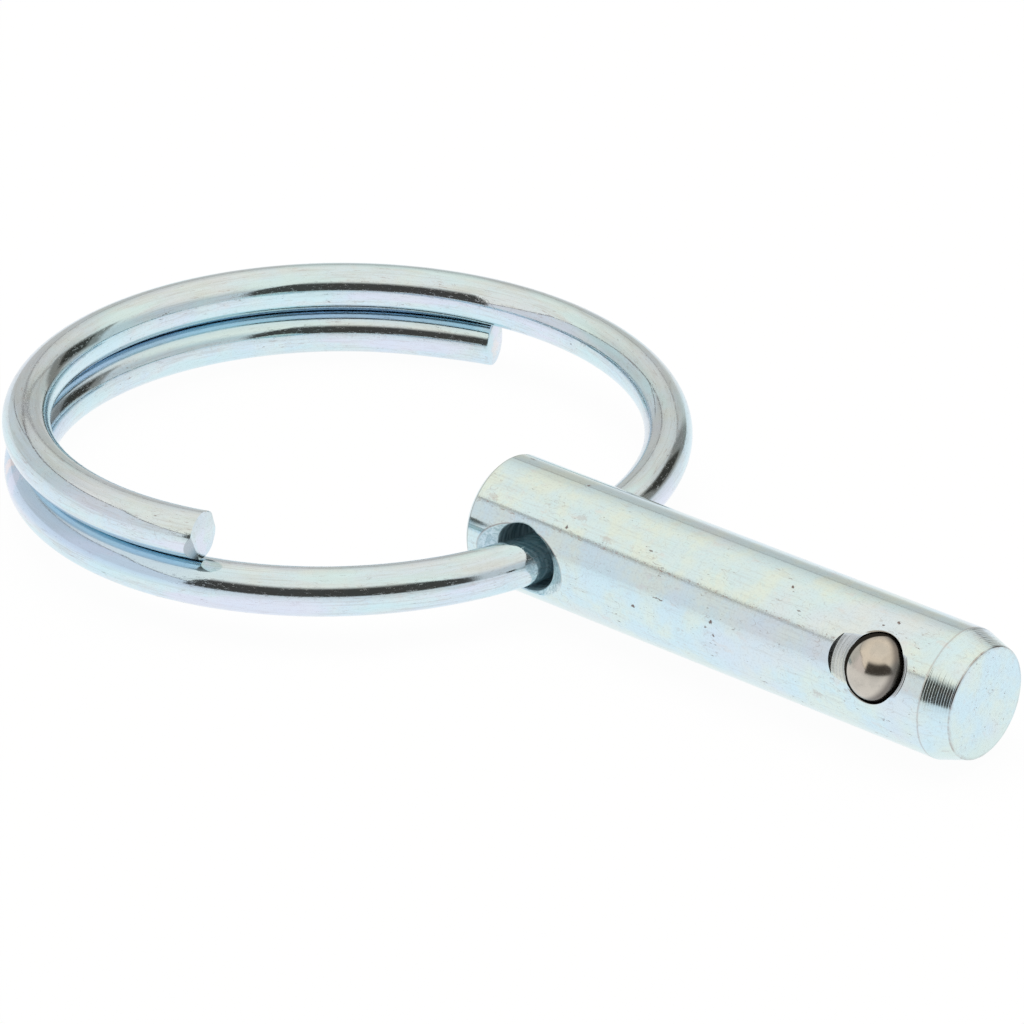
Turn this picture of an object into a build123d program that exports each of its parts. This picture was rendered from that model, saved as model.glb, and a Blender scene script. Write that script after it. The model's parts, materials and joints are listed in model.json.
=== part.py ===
from build123d import *
import os
from math import asin, atan2, ceil, cos, degrees, hypot, radians, sin, sqrt, tan

# Ball lock hitch pin: a plain round pin that is pushed through a hole and kept there by a
# sprung ball near its nose, with a loose wire ring at its tail to pull it out by.
#
# Frame: X is the pin's axis, nose towards +X, and the origin is on that axis midway between
# the ring hole and the ball. Z is up. The pin lies on its side with the ring lying beside it,
# so the ground is half a pin diameter below the origin.

# ---------------------------------------------------------------- sizes, in mm and degrees

# Pin
pin_diameter = 8.0            # shank diameter
hole_to_ball = 26.3           # from the ring hole's axis to the ball's axis
tail_length = 4.5             # from the ring hole's axis to the tail's end face
nose_length = 5.6             # from the ball's axis to the nose's end face
tail_chamfer = 0.35           # 45 degree chamfer round the tail
taper_length = 1.82           # lead-in taper at the nose, along the axis
taper_depth = 0.58            # how much the radius falls over that taper
shoulder_blend = 0.5          # radius where the shank turns into the taper
nose_edge_round = 0.12        # broken edge round the nose's end face

# Ring hole, drilled through across the pin, along Y
ring_hole_play = 1.0          # room left in the hole beyond the wire and its bow
ring_sink_width = 1.15        # countersink beyond the hole, where the shank is highest
ring_sink_angle = 120.0       # included angle of the countersink

# Ball, its pocket and the staking that keeps it in
ball_diameter = 4.0
ball_side_gap = 0.05          # between the ball and the pocket's wall, all round
ball_stop_gap = 0.02          # between the ball and the staked rim that it is sprung against
ball_angle = 28.0             # how far the pocket's axis leans up from the ring hole's axis
drill_point_angle = 118.0     # the drill's point at the bottom of the pocket
stake_tail_width = 0.95       # from the pocket's wall to the staking's edge, tail side
stake_nose_width = 0.40       # the same on the nose side, where the punch was further in
stake_depth = 0.20            # how deep the staking is at its outer edge
stake_wall_width = 0.15       # width of its steep outer wall
stake_floor_slope = 7.0       # how much its floor falls towards the ball
rim_tail_overhang = 0.135     # how far the staked rim is pushed in over the ball, tail side
rim_nose_overhang = 0.06      # the same on the nose side
mouth_relief = 0.05           # how much the mouth is wider than the pocket, across the pin

# Spring under the ball
spring_wire_diameter = 0.40
spring_side_gap = 0.20        # between the spring and the pocket's wall
spring_end_gap = 0.02         # between the spring and what it bears on, at each end
spring_active_turns = 3.5
spring_closed_turns = 1.0     # closed turns at each end
spring_closed_gap = 0.03      # air between a closed turn and the next
spring_spare = 0.50           # what the spring could still give with the ball pressed flush

# Ring
ring_wire_diameter = 3.0
ring_mean_diameter = 40.0     # of the wire's centre line
ring_coil_gap = 0.10          # air between one turn and the next
ring_upper_sweep = 287.5      # wire from the pin to the upper end, in degrees round the ring
ring_lower_sweep = 255.5      # wire from the pin to the lower end
ring_end_break = 0.12         # small break on the sheared edges
ring_end_stretch = 17.0       # the lower end's last stretch, in degrees round the ring, is
ring_end_radius = 36.0        # bent to this larger radius, as a winding's first wire is

# How the ring lies in the hole at rest
ring_creep = 6.4              # the ring has crept this far round, out of line with the pin
ring_drop = 0.30              # wire's centre below the pin's axis, in the play of the hole
ring_pull = 0.074             # how far the ring is drawn off beyond the middle of its play
ring_ground_gap = 0.02        # between the ring's lowest end and the ground

# ---------------------------------------------------------------- derived values

pin_radius = pin_diameter / 2
ball_radius = ball_diameter / 2
ring_wire_radius = ring_wire_diameter / 2
ring_mean_radius = ring_mean_diameter / 2
ring_pitch = ring_wire_diameter + ring_coil_gap
# The wire is curved, so it needs more room across the pin than its own thickness.
ring_bow = ring_mean_radius - sqrt(ring_mean_radius**2 - pin_radius**2)
ring_hole_radius = (ring_wire_diameter + ring_bow + ring_hole_play) / 2

ring_hole_x = -hole_to_ball / 2
ball_x = hole_to_ball / 2
tail_x = ring_hole_x - tail_length
nose_x = ball_x + nose_length
ground_z = -pin_radius


# ---------------------------------------------------------------- coils

arc_limit = 60.0              # longest single arc of a coil's path, in degrees


def coil_arcs(runs, radius, turned=0.0, risen=0.0):
    """A climbing path round Z in arcs, from runs of (turns, rise)."""
    arcs = []
    for turns, rise in runs:
        count = ceil(360 * turns / arc_limit)
        arc = Helix(rise / turns, rise / count, radius)
        for index in range(count):
            start = Rot(0, 0, turned + 360 * turns * index / count)
            arcs.append(Pos(0, 0, risen + rise * index / count) * start * arc)
        turned += 360 * turns
        risen += rise
    return arcs


def wire_coil(path, wire_radius):
    """Round wire bent along a path."""
    section = Plane(origin=path @ 0, z_dir=path % 0) * Circle(wire_radius)
    return sweep(section, path=path, is_frenet=True)


# ---------------------------------------------------------------- pin body

def turned_pin():
    """The pin before its holes: one profile turned round the X axis."""
    nose_face_radius = pin_radius - taper_depth
    outline = Polyline(
        (tail_x, 0),
        (tail_x, pin_radius - tail_chamfer),
        (tail_x + tail_chamfer, pin_radius),
        (nose_x - taper_length, pin_radius),
        (nose_x, nose_face_radius),
        (nose_x, 0),
        close=True,
    )
    profile = make_face(outline)
    shoulder = profile.vertices().filter_by(
        lambda v: abs(v.X - (nose_x - taper_length)) < 1e-6 and v.Y > 0.01
    )
    profile = fillet(shoulder, shoulder_blend)
    edge = profile.vertices().filter_by(lambda v: abs(v.X - nose_x) < 1e-6 and v.Y > 0.01)
    profile = fillet(edge, nose_edge_round)
    return revolve(profile, Axis.X)


def ring_hole():
    """The through hole for the ring, with a countersink at both mouths."""
    sink_run = ring_sink_width / tan(radians(ring_sink_angle / 2))
    sink_start = pin_radius - sink_run
    past = pin_radius + 1.0
    past_radius = ring_hole_radius + (past - sink_start) * tan(radians(ring_sink_angle / 2))
    outline = Polyline(
        (0, -past),
        (past_radius, -past),
        (ring_hole_radius, -sink_start),
        (ring_hole_radius, sink_start),
        (past_radius, past),
        (0, past),
        close=True,
    )
    tool = revolve(make_face(outline), Axis.Y)
    return Pos(ring_hole_x, 0, 0) * tool


# The pocket is drawn on its own axes: its Z runs out of the pocket's mouth, its X lies along
# the pin, and heights are counted from the pin's axis.
pocket_frame = Location(
    Plane(
        origin=(ball_x, 0, 0),
        x_dir=(1, 0, 0),
        z_dir=(0, -cos(radians(ball_angle)), sin(radians(ball_angle))),
    )
)
pocket_radius = ball_radius + ball_side_gap
rim_radius = pocket_radius - rim_tail_overhang
# The punch's face is round, and it sat nearer the tail than the pocket's axis does.
stake_radius = pocket_radius + (stake_tail_width + stake_nose_width) / 2
stake_centre = (stake_nose_width - stake_tail_width) / 2
stake_floor_radius = stake_radius - stake_wall_width
stake_floor_height = pin_radius - stake_depth
stake_fall = tan(radians(stake_floor_slope))
rim_height = stake_floor_height - (stake_floor_radius - rim_radius - stake_centre) * stake_fall
# The staked rim is rounded to the pocket's own radius on its inside, and the ball rises
# until it meets the rim's edge on the tail side.
seat_centre = rim_height - sqrt(pocket_radius**2 - rim_radius**2)
ball_height = rim_height - sqrt(ball_radius**2 - rim_radius**2) - ball_stop_gap
ball_travel = ball_height + ball_radius - pin_radius
# The spring's ground head bears on the ball, and the pocket is drilled as deep as the spring
# needs: its ground foot stands on the cone that the drill's point leaves.
spring_outer_radius = pocket_radius - spring_side_gap
spring_mean_radius = spring_outer_radius - spring_wire_diameter / 2
spring_inner_radius = spring_mean_radius - spring_wire_diameter / 2
spring_solid_length = spring_wire_diameter * (spring_active_turns + 2 * spring_closed_turns)
spring_length = spring_solid_length + ball_travel + spring_spare
spring_head = ball_height - sqrt(ball_radius**2 - spring_inner_radius**2) - spring_end_gap
spring_foot = spring_head - spring_length
cone_slope = 1 / tan(radians(drill_point_angle / 2))
pocket_floor = spring_foot - spring_end_gap + (pocket_radius - spring_outer_radius) * cone_slope
pocket_tip = pocket_floor - pocket_radius * cone_slope


def ball_pocket():
    """Blind drilled pocket, closed in at both ends of its mouth by the staked rim."""
    outline = Polyline(
        (0, pocket_tip),
        (pocket_radius, pocket_floor),
        (pocket_radius, seat_centre),
        (0, seat_centre),
        close=True,
    )
    drilled = revolve(make_face(Plane.XZ * outline), Axis.Z)
    seat = Pos(0, 0, seat_centre) * Sphere(pocket_radius)
    mouth_reach = pocket_radius - (rim_tail_overhang + rim_nose_overhang) / 2
    mouth_centre = (rim_tail_overhang - rim_nose_overhang) / 2
    mouth_shape = Ellipse(mouth_reach, pocket_radius + mouth_relief)
    mouth = Pos(mouth_centre, 0, seat_centre) * extrude(mouth_shape, pin_radius)
    return pocket_frame * (drilled + seat + mouth)


def stake_ring():
    """What the staking punch pressed away: it only bites where the shank stands highest."""
    past = pin_radius + 1.0
    wall_run = stake_wall_width / stake_depth
    outline = Polyline(
        (0, stake_floor_height - stake_floor_radius * stake_fall),
        (stake_floor_radius, stake_floor_height),
        (stake_floor_radius + (past - stake_floor_height) * wall_run, past),
        (0, past),
        close=True,
    )
    punch = revolve(make_face(Plane.XZ * outline), Axis.Z)
    return pocket_frame * (Pos(stake_centre, 0, 0) * punch)


def pin_body():
    body = turned_pin() - ring_hole()
    body = body - stake_ring()
    return body - ball_pocket()


# ---------------------------------------------------------------- ball and its spring

def detent_ball():
    return pocket_frame * (Pos(0, 0, ball_height) * Sphere(ball_radius))


def ball_spring():
    """Compression spring with closed and ground ends, at its length under the resting ball."""
    closed_rise = spring_closed_turns * (spring_wire_diameter + spring_closed_gap)
    # Half a wire is ground off each end, so the centre line runs from face to face.
    active_rise = spring_length - 2 * closed_rise
    closed = (spring_closed_turns, closed_rise)
    active = (spring_active_turns, active_rise)
    path = Wire(coil_arcs([closed, active, closed], spring_mean_radius))
    coil = wire_coil(path, spring_wire_diameter / 2)
    ground = Pos(0, 0, spring_length / 2) * Cylinder(spring_outer_radius + 1, spring_length)
    return pocket_frame * (Pos(0, 0, spring_foot) * (coil & ground))


# ---------------------------------------------------------------- ring

def ring_path():
    """The wire's centre line from its lower end up, passing the pin at (mean radius, 0, 0)."""
    end_rise = ring_pitch * ring_end_stretch / 360
    end_turns = ring_end_stretch / 360 * ring_mean_radius / ring_end_radius
    joint = -ring_lower_sweep + ring_end_stretch
    # The wider arc's centre lies beyond the ring's, on the line through where the two join.
    offset = ring_mean_radius - ring_end_radius
    centre = Pos(offset * cos(radians(joint)), offset * sin(radians(joint)), 0)
    lowest = -ring_pitch * ring_lower_sweep / 360
    end = coil_arcs([(end_turns, end_rise)], ring_end_radius, joint - 360 * end_turns, lowest)
    turns = (ring_upper_sweep - joint) / 360
    coil = coil_arcs([(turns, ring_pitch * turns)], ring_mean_radius, joint, lowest + end_rise)
    return Wire([centre * arc for arc in end] + coil)


def coiled_ring(path):
    coil = wire_coil(path, ring_wire_radius)
    sheared = coil.faces().filter_by(GeomType.PLANE).edges()
    return chamfer(sheared, ring_end_break)


def resting_ring():
    """The ring laid in the hole, swung about the hole's axis until its lower end is down."""
    centre_distance = ring_mean_radius - ring_bow + ring_pull
    centre_x = -centre_distance * cos(radians(ring_creep))
    centre_y = centre_distance * sin(radians(ring_creep))
    path = ring_path()
    # The lower end's centre, seen from the hole's axis, before the ring is swung down.
    end_x = centre_x + (path @ 0).X
    end_z = -ring_drop + (path @ 0).Z
    wanted_z = ground_z + ring_ground_gap + ring_wire_radius
    # Swinging by t about Y puts that end at end_z * cos(t) - end_x * sin(t).
    reach = hypot(end_x, end_z)
    swing = degrees(asin(wanted_z / reach) - atan2(end_z, -end_x))
    ring = Pos(centre_x, centre_y, -ring_drop) * coiled_ring(path)
    return Pos(ring_hole_x, 0, 0) * Rot(0, swing, 0) * ring, swing


# ---------------------------------------------------------------- build and write

os.makedirs("parts", exist_ok=True)
split_ring, ring_swing = resting_ring()
pieces = {
    "pin_body": pin_body(),
    "detent_ball": detent_ball(),
    "ball_spring": ball_spring(),
    "split_ring": split_ring,
}
for name, piece in pieces.items():
    export_step(piece, f"parts/{name}.step")
    print(name, round(piece.volume, 3), "mm3", piece.is_valid)
print("ring swung at rest by", round(ring_swing, 3), "degrees")
print("ball centre above the pin's axis", round(ball_height, 3), "travel", round(ball_travel, 3))
print("spring at rest", round(spring_length, 3), "closed solid", round(spring_solid_length, 3))
print("ring hole diameter", round(2 * ring_hole_radius, 3))
print("pocket depth", round(pin_radius - pocket_floor, 3))
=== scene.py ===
# %% [markdown]
# # A ball lock hitch pin
# A round steel pin with a sprung ball near its nose and a loose wire ring through its tail.
# The solid model already fixes every place and every joint, so this lesson starts by loading
# it as a frame. Each piece is then modelled again, finer than the solid model's facets,
# because bright zinc is a mirror and a mirror shows every facet.

# %% Load the frame
import json
import bmesh
import bpy
from math import asin, atan2, cos, degrees, hypot, pi, radians, sin, sqrt, tan
from mathutils import Matrix, Vector


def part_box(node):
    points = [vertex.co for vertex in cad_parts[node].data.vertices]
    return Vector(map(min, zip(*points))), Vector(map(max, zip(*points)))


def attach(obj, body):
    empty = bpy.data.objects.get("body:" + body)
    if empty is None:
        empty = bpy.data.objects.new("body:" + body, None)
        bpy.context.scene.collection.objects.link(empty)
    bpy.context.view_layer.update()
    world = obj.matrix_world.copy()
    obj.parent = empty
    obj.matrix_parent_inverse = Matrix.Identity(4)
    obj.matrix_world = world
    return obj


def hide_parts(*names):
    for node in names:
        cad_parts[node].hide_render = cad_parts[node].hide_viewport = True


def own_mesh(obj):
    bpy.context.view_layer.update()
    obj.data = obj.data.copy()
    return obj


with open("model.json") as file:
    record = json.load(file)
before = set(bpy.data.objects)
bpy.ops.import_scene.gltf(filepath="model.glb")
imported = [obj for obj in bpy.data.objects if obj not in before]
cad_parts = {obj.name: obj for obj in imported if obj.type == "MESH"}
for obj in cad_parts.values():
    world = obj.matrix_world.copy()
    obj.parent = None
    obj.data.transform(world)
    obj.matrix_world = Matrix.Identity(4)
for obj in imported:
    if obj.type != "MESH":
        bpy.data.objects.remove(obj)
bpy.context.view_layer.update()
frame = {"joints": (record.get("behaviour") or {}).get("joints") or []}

# %% [markdown]
# ## Sizes
# A designer would give the same few numbers on a drawing: bar and ball diameters, the hole,
# the staking, the wire and the ring. They are written in millimetres. Places come from the
# frame: the ring's hinge runs down the middle of its hole, and the ball's slide is the axis of
# its pocket.

# %% Sizes and places
mm = 0.001
in_mm = 1000                  # metres times this are millimetres
joints = {joint["name"]: joint for joint in frame["joints"]}
hole_x = joints["ring_swing"]["pos_m"][0]
ball_axis = Vector(joints["ball_press"]["axis"])
ball_travel = -joints["ball_press"]["range_m"][0]

pin_radius = 4.0 * mm
ball_radius = 2.0 * mm
wire_radius = 1.5 * mm
ring_radius = 20.0 * mm

pin_low, pin_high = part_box("pin_body")
ball_low, ball_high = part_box("detent_ball")
tail_x = pin_low.x
nose_x = pin_high.x
ball_x = round((ball_low.x + ball_high.x) / 2, 6)
ball_height = ((ball_low + ball_high) / 2 - Vector((ball_x, 0, 0))).dot(ball_axis)
print("tail", tail_x, "hole", hole_x, "ball", ball_x, "nose", nose_x)
print("ball centre above the pin's axis, mm:", round(in_mm * ball_height, 3))

# %% [markdown]
# ## Turning a shape
# The pin and the ball are turned shapes, and so are the cutters for the holes. A spin of one
# outline makes each of them. The outline starts and ends on the axis, so the spin closes
# itself at two poles once its doubles are merged.

# %% Lathe helpers
def outline_mesh(points):
    """A bmesh that holds one open chain of edges through the points."""
    bm = bmesh.new()
    verts = [bm.verts.new(point) for point in points]
    for pair in zip(verts, verts[1:]):
        bm.edges.new(pair)
    return bm


def face_out(bm):
    """Turns the front of every face outwards."""
    bmesh.ops.recalc_face_normals(bm, faces=bm.faces[:])


def move(bm, offset):
    """Moves the whole bmesh."""
    bmesh.ops.translate(bm, verts=bm.verts[:], vec=offset)


def turned(points, axis, steps):
    """The chain of points spun once round an axis through the origin."""
    bm = outline_mesh(points)
    bmesh.ops.spin(bm, geom=bm.verts[:] + bm.edges[:], cent=(0, 0, 0), axis=axis,
                   dvec=(0, 0, 0), angle=2 * pi, steps=steps, use_merge=True)
    bmesh.ops.remove_doubles(bm, verts=bm.verts[:], dist=1e-8)
    face_out(bm)
    return bm


def close_openings(bm):
    """Caps every open rim, and gives back the faces that did it."""
    rims = [edge for edge in bm.edges if edge.is_boundary]
    return bmesh.ops.holes_fill(bm, edges=rims)["faces"]


def arc(centre, radius, start, end, steps):
    """Points along an arc, as pairs, from one angle to another in degrees."""
    turns = [radians(start + (end - start) * i / steps) for i in range(steps + 1)]
    return [(centre[0] + radius * cos(t), centre[1] + radius * sin(t)) for t in turns]


def as_object(name, bm, sharp_angle=30):
    """A finished object with smooth faces and creases where the surface turns sharply."""
    mesh = bpy.data.meshes.new(name)
    bm.to_mesh(mesh)
    bm.free()
    mesh.shade_smooth()
    mesh.set_sharp_from_angle(angle=radians(sharp_angle))
    made = bpy.data.objects.new(name, mesh)
    bpy.context.scene.collection.objects.link(made)
    print(name, len(mesh.polygons), "faces")
    return made

# %% [markdown]
# ## The pin's blank
# The pin is bar stock, turned at both ends: a small chamfer at the tail, and at the nose a
# lead-in taper that turns down from the shank over a small blend. The tool's tip leaves one
# fine ridge a turn on the taper. The ridges are part of the outline and not only of the
# finish, because they break what the taper mirrors into lines.

# %% Pin outline
tail_chamfer = 0.35 * mm
tail_edge_round = 0.08 * mm
taper_length = 1.82 * mm
taper_depth = 0.58 * mm
shoulder_blend = 0.5 * mm
nose_edge_round = 0.12 * mm
ridge_height = 0.009 * mm
ridge_width = 0.30            # share of the space between two ridges
ridge_count = 11
steps_per_ridge = 10

taper_angle = degrees(atan2(taper_depth, taper_length))
nose_face_radius = pin_radius - taper_depth
shoulder_x = nose_x - taper_length


def taper_points():
    """The nose from the end of the shank to its end face: blend, ridged taper, round edge."""
    tangent = shoulder_blend * tan(radians(taper_angle / 2))
    blend_centre = (shoulder_x - tangent, pin_radius - shoulder_blend)
    points = arc(blend_centre, shoulder_blend, 90, 90 - taper_angle, 8)
    half_corner = radians((90 - taper_angle) / 2)
    inset = nose_edge_round * tan(half_corner)
    slope = Vector((cos(radians(taper_angle)), -sin(radians(taper_angle))))
    outward = Vector((-slope.y, slope.x))
    start = Vector(points[-1])
    end = Vector((nose_x, nose_face_radius)) - slope * inset
    steps = ridge_count * steps_per_ridge
    for i in range(1, steps):
        turn = ridge_count * i / steps
        from_crest = abs(turn % 1 - 0.5) / (ridge_width / 2)
        strength = 0.7 + 0.3 * sin(2.6 * (turn - turn % 1) + 1)    # no two ridges alike
        low = ridge_height * (1 - strength * max(0.0, 1 - from_crest))
        points.append(tuple(start.lerp(end, i / steps) - outward * low))
    edge_centre = (nose_x - nose_edge_round, nose_face_radius - inset)
    points += arc(edge_centre, nose_edge_round, 90 - taper_angle, 0, 6)
    return points


def pin_outline():
    """The outline from the middle of the tail's face to that of the nose's."""
    tail_face_radius = pin_radius - tail_chamfer
    run = tail_edge_round * tan(radians(22.5))
    inner = (tail_x + tail_edge_round, tail_face_radius - run)
    outer = (tail_x + tail_chamfer + run, pin_radius - tail_edge_round)
    outline = [(tail_x, 0)]
    outline += [(tail_x, tail_face_radius * i / 6) for i in range(1, 6)]
    outline += arc(inner, tail_edge_round, 180, 135, 4)
    outline += arc(outer, tail_edge_round, 135, 90, 4)
    outline += taper_points()
    outline += [(nose_x, nose_face_radius * i / 8) for i in range(7, -1, -1)]
    return [(x, 0, radius) for x, radius in outline]


pin_steps = 256
pin_blank = as_object("pin_blank", turned(pin_outline(), (1, 0, 0), pin_steps), sharp_angle=7)

# %% [markdown]
# ## Cutting the holes
# Each hole is cut by a turned cutter with an exact boolean, as a drill or a punch would do it.
# The ring's hole goes straight across and is countersunk at both mouths. The countersink was
# set a little low, so its lip is wider below. The ball's pocket leans up out of the pin's
# side. A round punch stakes its rim: it pushes metal in over the ball, and it only bites where
# the shank stands highest. It stood nearer the tail, so it left a broad crescent on that side
# and only a thin ledge towards the nose.

# %% Ring hole cutters
hole_play = 1.0 * mm
sink_width = 1.15 * mm
sink_angle = 120
sink_z = -0.26 * mm
wire_bow = ring_radius - sqrt(ring_radius**2 - pin_radius**2)
hole_radius = wire_radius + (wire_bow + hole_play) / 2
sink_spread = tan(radians(sink_angle / 2))
sink_start = pin_radius - sink_width / sink_spread
sink_ridge = 0.010 * mm
sink_steps = 60
sink_steps_per_ridge = 2.9
cutter_overshoot = 1.0 * mm
cutter_steps = 160


def drill_cutter():
    """The ring's hole, straight across the pin."""
    reach = pin_radius + cutter_overshoot
    outline = [(0, reach), (hole_radius, reach), (hole_radius, -reach), (0, -reach)]
    drill = turned([(radius, along, 0) for radius, along in outline], (0, 1, 0), cutter_steps)
    move(drill, (hole_x, 0, 0))
    return drill


def sink_cutter(side):
    """One countersink, with the fine turning ridges that its lip leaves."""
    tip = sink_start - hole_radius / sink_spread
    reach = pin_radius + cutter_overshoot
    outline = [(0, tip)]
    for i in range(1, sink_steps + 1):
        along = tip + (reach - tip) * i / sink_steps
        wave = sin(2 * pi * i / sink_steps_per_ridge) if i < sink_steps else 0.0
        outline.append(((along - tip) * sink_spread + sink_ridge * max(0.0, wave), along))
    outline.append((0, reach))
    points = [(radius, side * along, 0) for radius, along in outline]
    sink = turned(points, (0, 1, 0), cutter_steps)
    move(sink, (hole_x, 0, sink_z))
    return sink


cutters = [as_object("ring_drill", drill_cutter()),
           as_object("near_sink", sink_cutter(-1)), as_object("far_sink", sink_cutter(1))]

# %% Ball pocket cutters
pocket_radius = ball_radius + 0.05 * mm
rim_tail_overhang = 0.135 * mm
rim_nose_chip = 0.06 * mm
mouth_relief = 0.05 * mm
stake_tail_width = 0.95 * mm
stake_nose_width = 0.40 * mm
stake_depth = 0.20 * mm
stake_wall_width = 0.15 * mm
stake_floor_slope = 7.0
stake_corner = 0.05 * mm
score_pitch = 0.24 * mm
score_height = 0.003 * mm
score_phase = 1.2             # radians
score_steps = 90
stake_steps = 192
drill_point_angle = 118

rim_radius = pocket_radius - rim_tail_overhang
stake_radius = pocket_radius + (stake_tail_width + stake_nose_width) / 2
stake_centre = (stake_nose_width - stake_tail_width) / 2
stake_floor_radius = stake_radius - stake_wall_width
stake_floor_height = pin_radius - stake_depth
stake_fall = tan(radians(stake_floor_slope))
rim_height = stake_floor_height - (stake_floor_radius - rim_radius - stake_centre) * stake_fall
seat_centre = rim_height - sqrt(pocket_radius**2 - rim_radius**2)

along_pin = Vector((1, 0, 0))
across_pin = ball_axis.cross(along_pin)
pocket_frame = Matrix((along_pin, across_pin, ball_axis)).transposed().to_4x4()
pocket_frame.translation = (ball_x, 0, 0)


def placed_in_pocket(bm):
    """Moves what was drawn on the pocket's own axes, Z out of its mouth, to its place."""
    bmesh.ops.transform(bm, matrix=pocket_frame, verts=bm.verts[:])
    return bm


def stake_cutter():
    """The punch's face: a steep wall, and a finely scored floor that falls to the ball."""
    reach = pin_radius + cutter_overshoot
    wall_run = stake_wall_width / stake_depth
    wall_top = stake_floor_radius + (reach - stake_floor_height) * wall_run
    outline = [(0, reach), (wall_top, reach)]
    for out, up in ((0.8, 0.9), (0.2, 0.15)):
        outline.append((stake_floor_radius + stake_corner * out,
                        stake_floor_height + stake_corner * up))
    start = stake_floor_radius - stake_corner * 0.6
    for i in range(score_steps + 1):
        radius = start - (start - rim_radius * 0.7) * i / score_steps
        inward = stake_floor_radius - radius
        wave = sin(2 * pi * inward / score_pitch - score_phase)
        height = stake_floor_height - inward * stake_fall
        outline.append((radius, height + score_height * max(0.0, wave) ** 4))
    outline.append((0, stake_floor_height - stake_floor_radius * stake_fall))
    punch = turned([(radius, 0, height) for radius, height in outline], (0, 0, 1), stake_steps)
    move(punch, (stake_centre, 0, 0))
    return punch


def bore_cutter():
    """The drilled blind hole, closing in over the ball like the inside of a sphere."""
    cone = 1 / tan(radians(drill_point_angle / 2))
    outline = [(0, pocket_floor - pocket_radius * cone), (pocket_radius, pocket_floor)]
    outline += arc((0, seat_centre), pocket_radius, 0, 90, 24)
    return turned([(radius, 0, height) for radius, height in outline], (0, 0, 1), cutter_steps)


def mouth_cutter():
    """The mouth: drawn in along the pin by the staking, a little wider across it."""
    reach = pocket_radius - (rim_tail_overhang - rim_nose_chip) / 2
    middle = (rim_tail_overhang + rim_nose_chip) / 2
    bm = bmesh.new()
    bmesh.ops.create_circle(bm, cap_ends=True, segments=cutter_steps, radius=1)
    bmesh.ops.scale(bm, verts=bm.verts[:], vec=(reach, pocket_radius + mouth_relief, 1))
    move(bm, (middle, 0, seat_centre))
    raised = bmesh.ops.extrude_face_region(bm, geom=bm.faces[:])["geom"]
    upper = [part for part in raised if isinstance(part, bmesh.types.BMVert)]
    bmesh.ops.translate(bm, verts=upper, vec=(0, 0, pin_radius))
    face_out(bm)
    return bm


# The spring's size comes first, because the pocket is drilled just deep enough for it.
spring_wire = 0.40 * mm
spring_gap = 0.02 * mm
spring_play = 0.20 * mm
spring_reserve = 0.50 * mm    # what is left to press when the ball is flush
spring_outer = pocket_radius - spring_play
spring_mean = spring_outer - spring_wire / 2
spring_inner = spring_mean - spring_wire / 2
spring_turns_closed = 1.0
spring_turns_active = 3.5
spring_solid = spring_wire * (spring_turns_active + 2 * spring_turns_closed)
spring_length = spring_solid + ball_travel + spring_reserve
spring_head = ball_height - sqrt(ball_radius**2 - spring_inner**2) - spring_gap
spring_foot = spring_head - spring_length
cone_rise = (pocket_radius - spring_outer) / tan(radians(drill_point_angle / 2))
pocket_floor = spring_foot - spring_gap + cone_rise

cutters += [
    as_object("stake_cutter", placed_in_pocket(stake_cutter())),
    as_object("bore_cutter", placed_in_pocket(bore_cutter())),
    as_object("mouth_cutter", placed_in_pocket(mouth_cutter())),
]
print("pocket floor and spring length in mm:", round(in_mm * pocket_floor, 3),
      round(in_mm * spring_length, 3))

# %% Cut the pin
def cut(blank, tools):
    """The blank with every tool's shape taken away, as one new mesh."""
    for tool in tools:
        step = blank.modifiers.new(tool.name, "BOOLEAN")
        step.operation = "DIFFERENCE"
        step.solver = "EXACT"
        step.object = tool
    depsgraph = bpy.context.evaluated_depsgraph_get()
    mesh = bpy.data.meshes.new_from_object(blank.evaluated_get(depsgraph))
    for used in [blank, *tools]:
        bpy.data.objects.remove(used)
    return mesh


def polish_shank(mesh):
    """Points the normals of the shank straight out from its axis, so it mirrors cleanly."""
    mesh.shade_smooth()
    mesh.set_sharp_from_angle(angle=radians(16))
    slack = 0.01 * mm
    straight_out = 0.9995         # cosine of the most a facet of the shank may lean
    low = tail_x + tail_chamfer + tail_edge_round - slack
    high = shoulder_x - shoulder_blend * tan(radians(taper_angle / 2)) + slack
    normals = [Vector((0, 0, 0)) for _ in mesh.loops]
    for face in mesh.polygons:
        out = Vector((0, face.center.y, face.center.z)).normalized()
        if low < face.center.x < high and face.normal.dot(out) > straight_out:
            for loop in face.loop_indices:
                point = mesh.vertices[mesh.loops[loop].vertex_index].co
                normals[loop] = Vector((0, point.y, point.z)).normalized()
    mesh.normals_split_custom_set(normals)


pin_mesh = cut(pin_blank, cutters)
pin_mesh.name = "hitch_pin"
polish_shank(pin_mesh)
pin = bpy.data.objects.new("hitch_pin", pin_mesh)
bpy.context.scene.collection.objects.link(pin)
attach(pin, "pin")
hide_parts("pin_body")
print("hitch_pin", len(pin_mesh.polygons), "faces")

# %% [markdown]
# ## The ring
# Spring wire wound about one and a half turns, like a key ring, and sheared at both ends. A
# spin with a rise at every step is a helix, so one circle of wire makes the whole ring. The
# first wire on the winding arbor springs out a little, so the lower end's last stretch runs on
# a larger radius. The ends are capped and their edges broken by a bevel. Nippers pinched the
# upper end as they cut it: each flat they left is one more plane cut.

# %% Ring
ring_pitch = 3.1 * mm
upper_sweep = 287.5
lower_sweep = 255.5
end_stretch = 17.0
end_stretch_radius = 36.0 * mm
ring_creep = 6.4
ring_drop = 0.30 * mm
ring_pull = 0.074 * mm
ground_gap = 0.02 * mm
ring_end_break = 0.12 * mm
ring_section_steps = 64
ring_step_angle = 1.5         # degrees of turn at each step of the spin
ground_z = -pin_radius

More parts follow.
